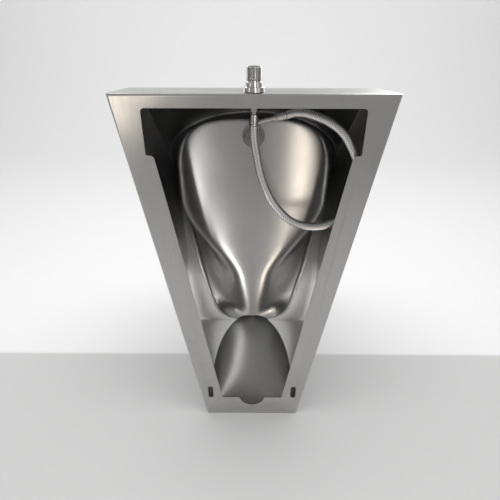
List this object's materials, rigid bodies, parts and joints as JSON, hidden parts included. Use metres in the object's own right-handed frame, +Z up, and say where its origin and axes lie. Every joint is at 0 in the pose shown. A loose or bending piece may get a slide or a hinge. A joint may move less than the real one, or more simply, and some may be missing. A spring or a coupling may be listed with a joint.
{
  "type": "wall-hung urinal",
  "caption": "Wall-hung stainless-steel washroom urinal: folded tapered housing, pressed bowl and scoop, lift-out strainer, threaded inlet and braided hose inside.",
  "frame": {"origin": "middle of the back frame's foot, on the wall plane", "axes": "+Y into the wall, +Z up, +X to the right of someone who faces the wall; the user stands on the -Y side"},
  "size_m": [0.386, 0.3441, 0.632],
  "materials": {
    "housing_steel": "satin, grained along the length of each strip",
    "bowl_steel": "smooth satin pressing",
    "scoop_steel": "smooth satin pressing",
    "waste_steel": "turned and polished",
    "fitting_nickel": "nickel-plated brass, turned",
    "braided_hose": "braided stainless wire",
    "black_rubber": "matt"
  },
  "bodies": {
    "urinal": {"back_frame": "housing_steel", "left_side_panel": "housing_steel", "right_side_panel": "housing_steel", "hood_panel": "housing_steel", "lower_front_plate": "housing_steel", "bowl_shell": "bowl_steel", "scoop_shell": "scoop_steel", "sump_pan": "scoop_steel", "waste_body": "waste_steel", "waste_gasket": "black_rubber", "waste_washer": "waste_steel", "waste_locknut": "waste_steel", "inlet_nipple": "fitting_nickel", "inlet_seal": "black_rubber", "inlet_locknut": "fitting_nickel", "hose_inlet_union": "fitting_nickel", "hose_inlet_ferrule": "fitting_nickel", "supply_hose": "braided_hose", "hose_outlet_ferrule": "fitting_nickel", "hose_outlet_stem": "fitting_nickel", "spreader_elbow": "fitting_nickel", "spreader_locknut": "fitting_nickel", "spreader_washer": "fitting_nickel", "spreader_seal": "black_rubber", "spray_nozzle": "fitting_nickel"},
    "strainer": {"waste_strainer": "waste_steel"}
  },
  "joints": [
    {"name": "strainer_lift", "type": "slide", "parent": "urinal", "child": "strainer", "axis": [0, 0, 1], "range_m": [0, 0.04]}
  ]
}
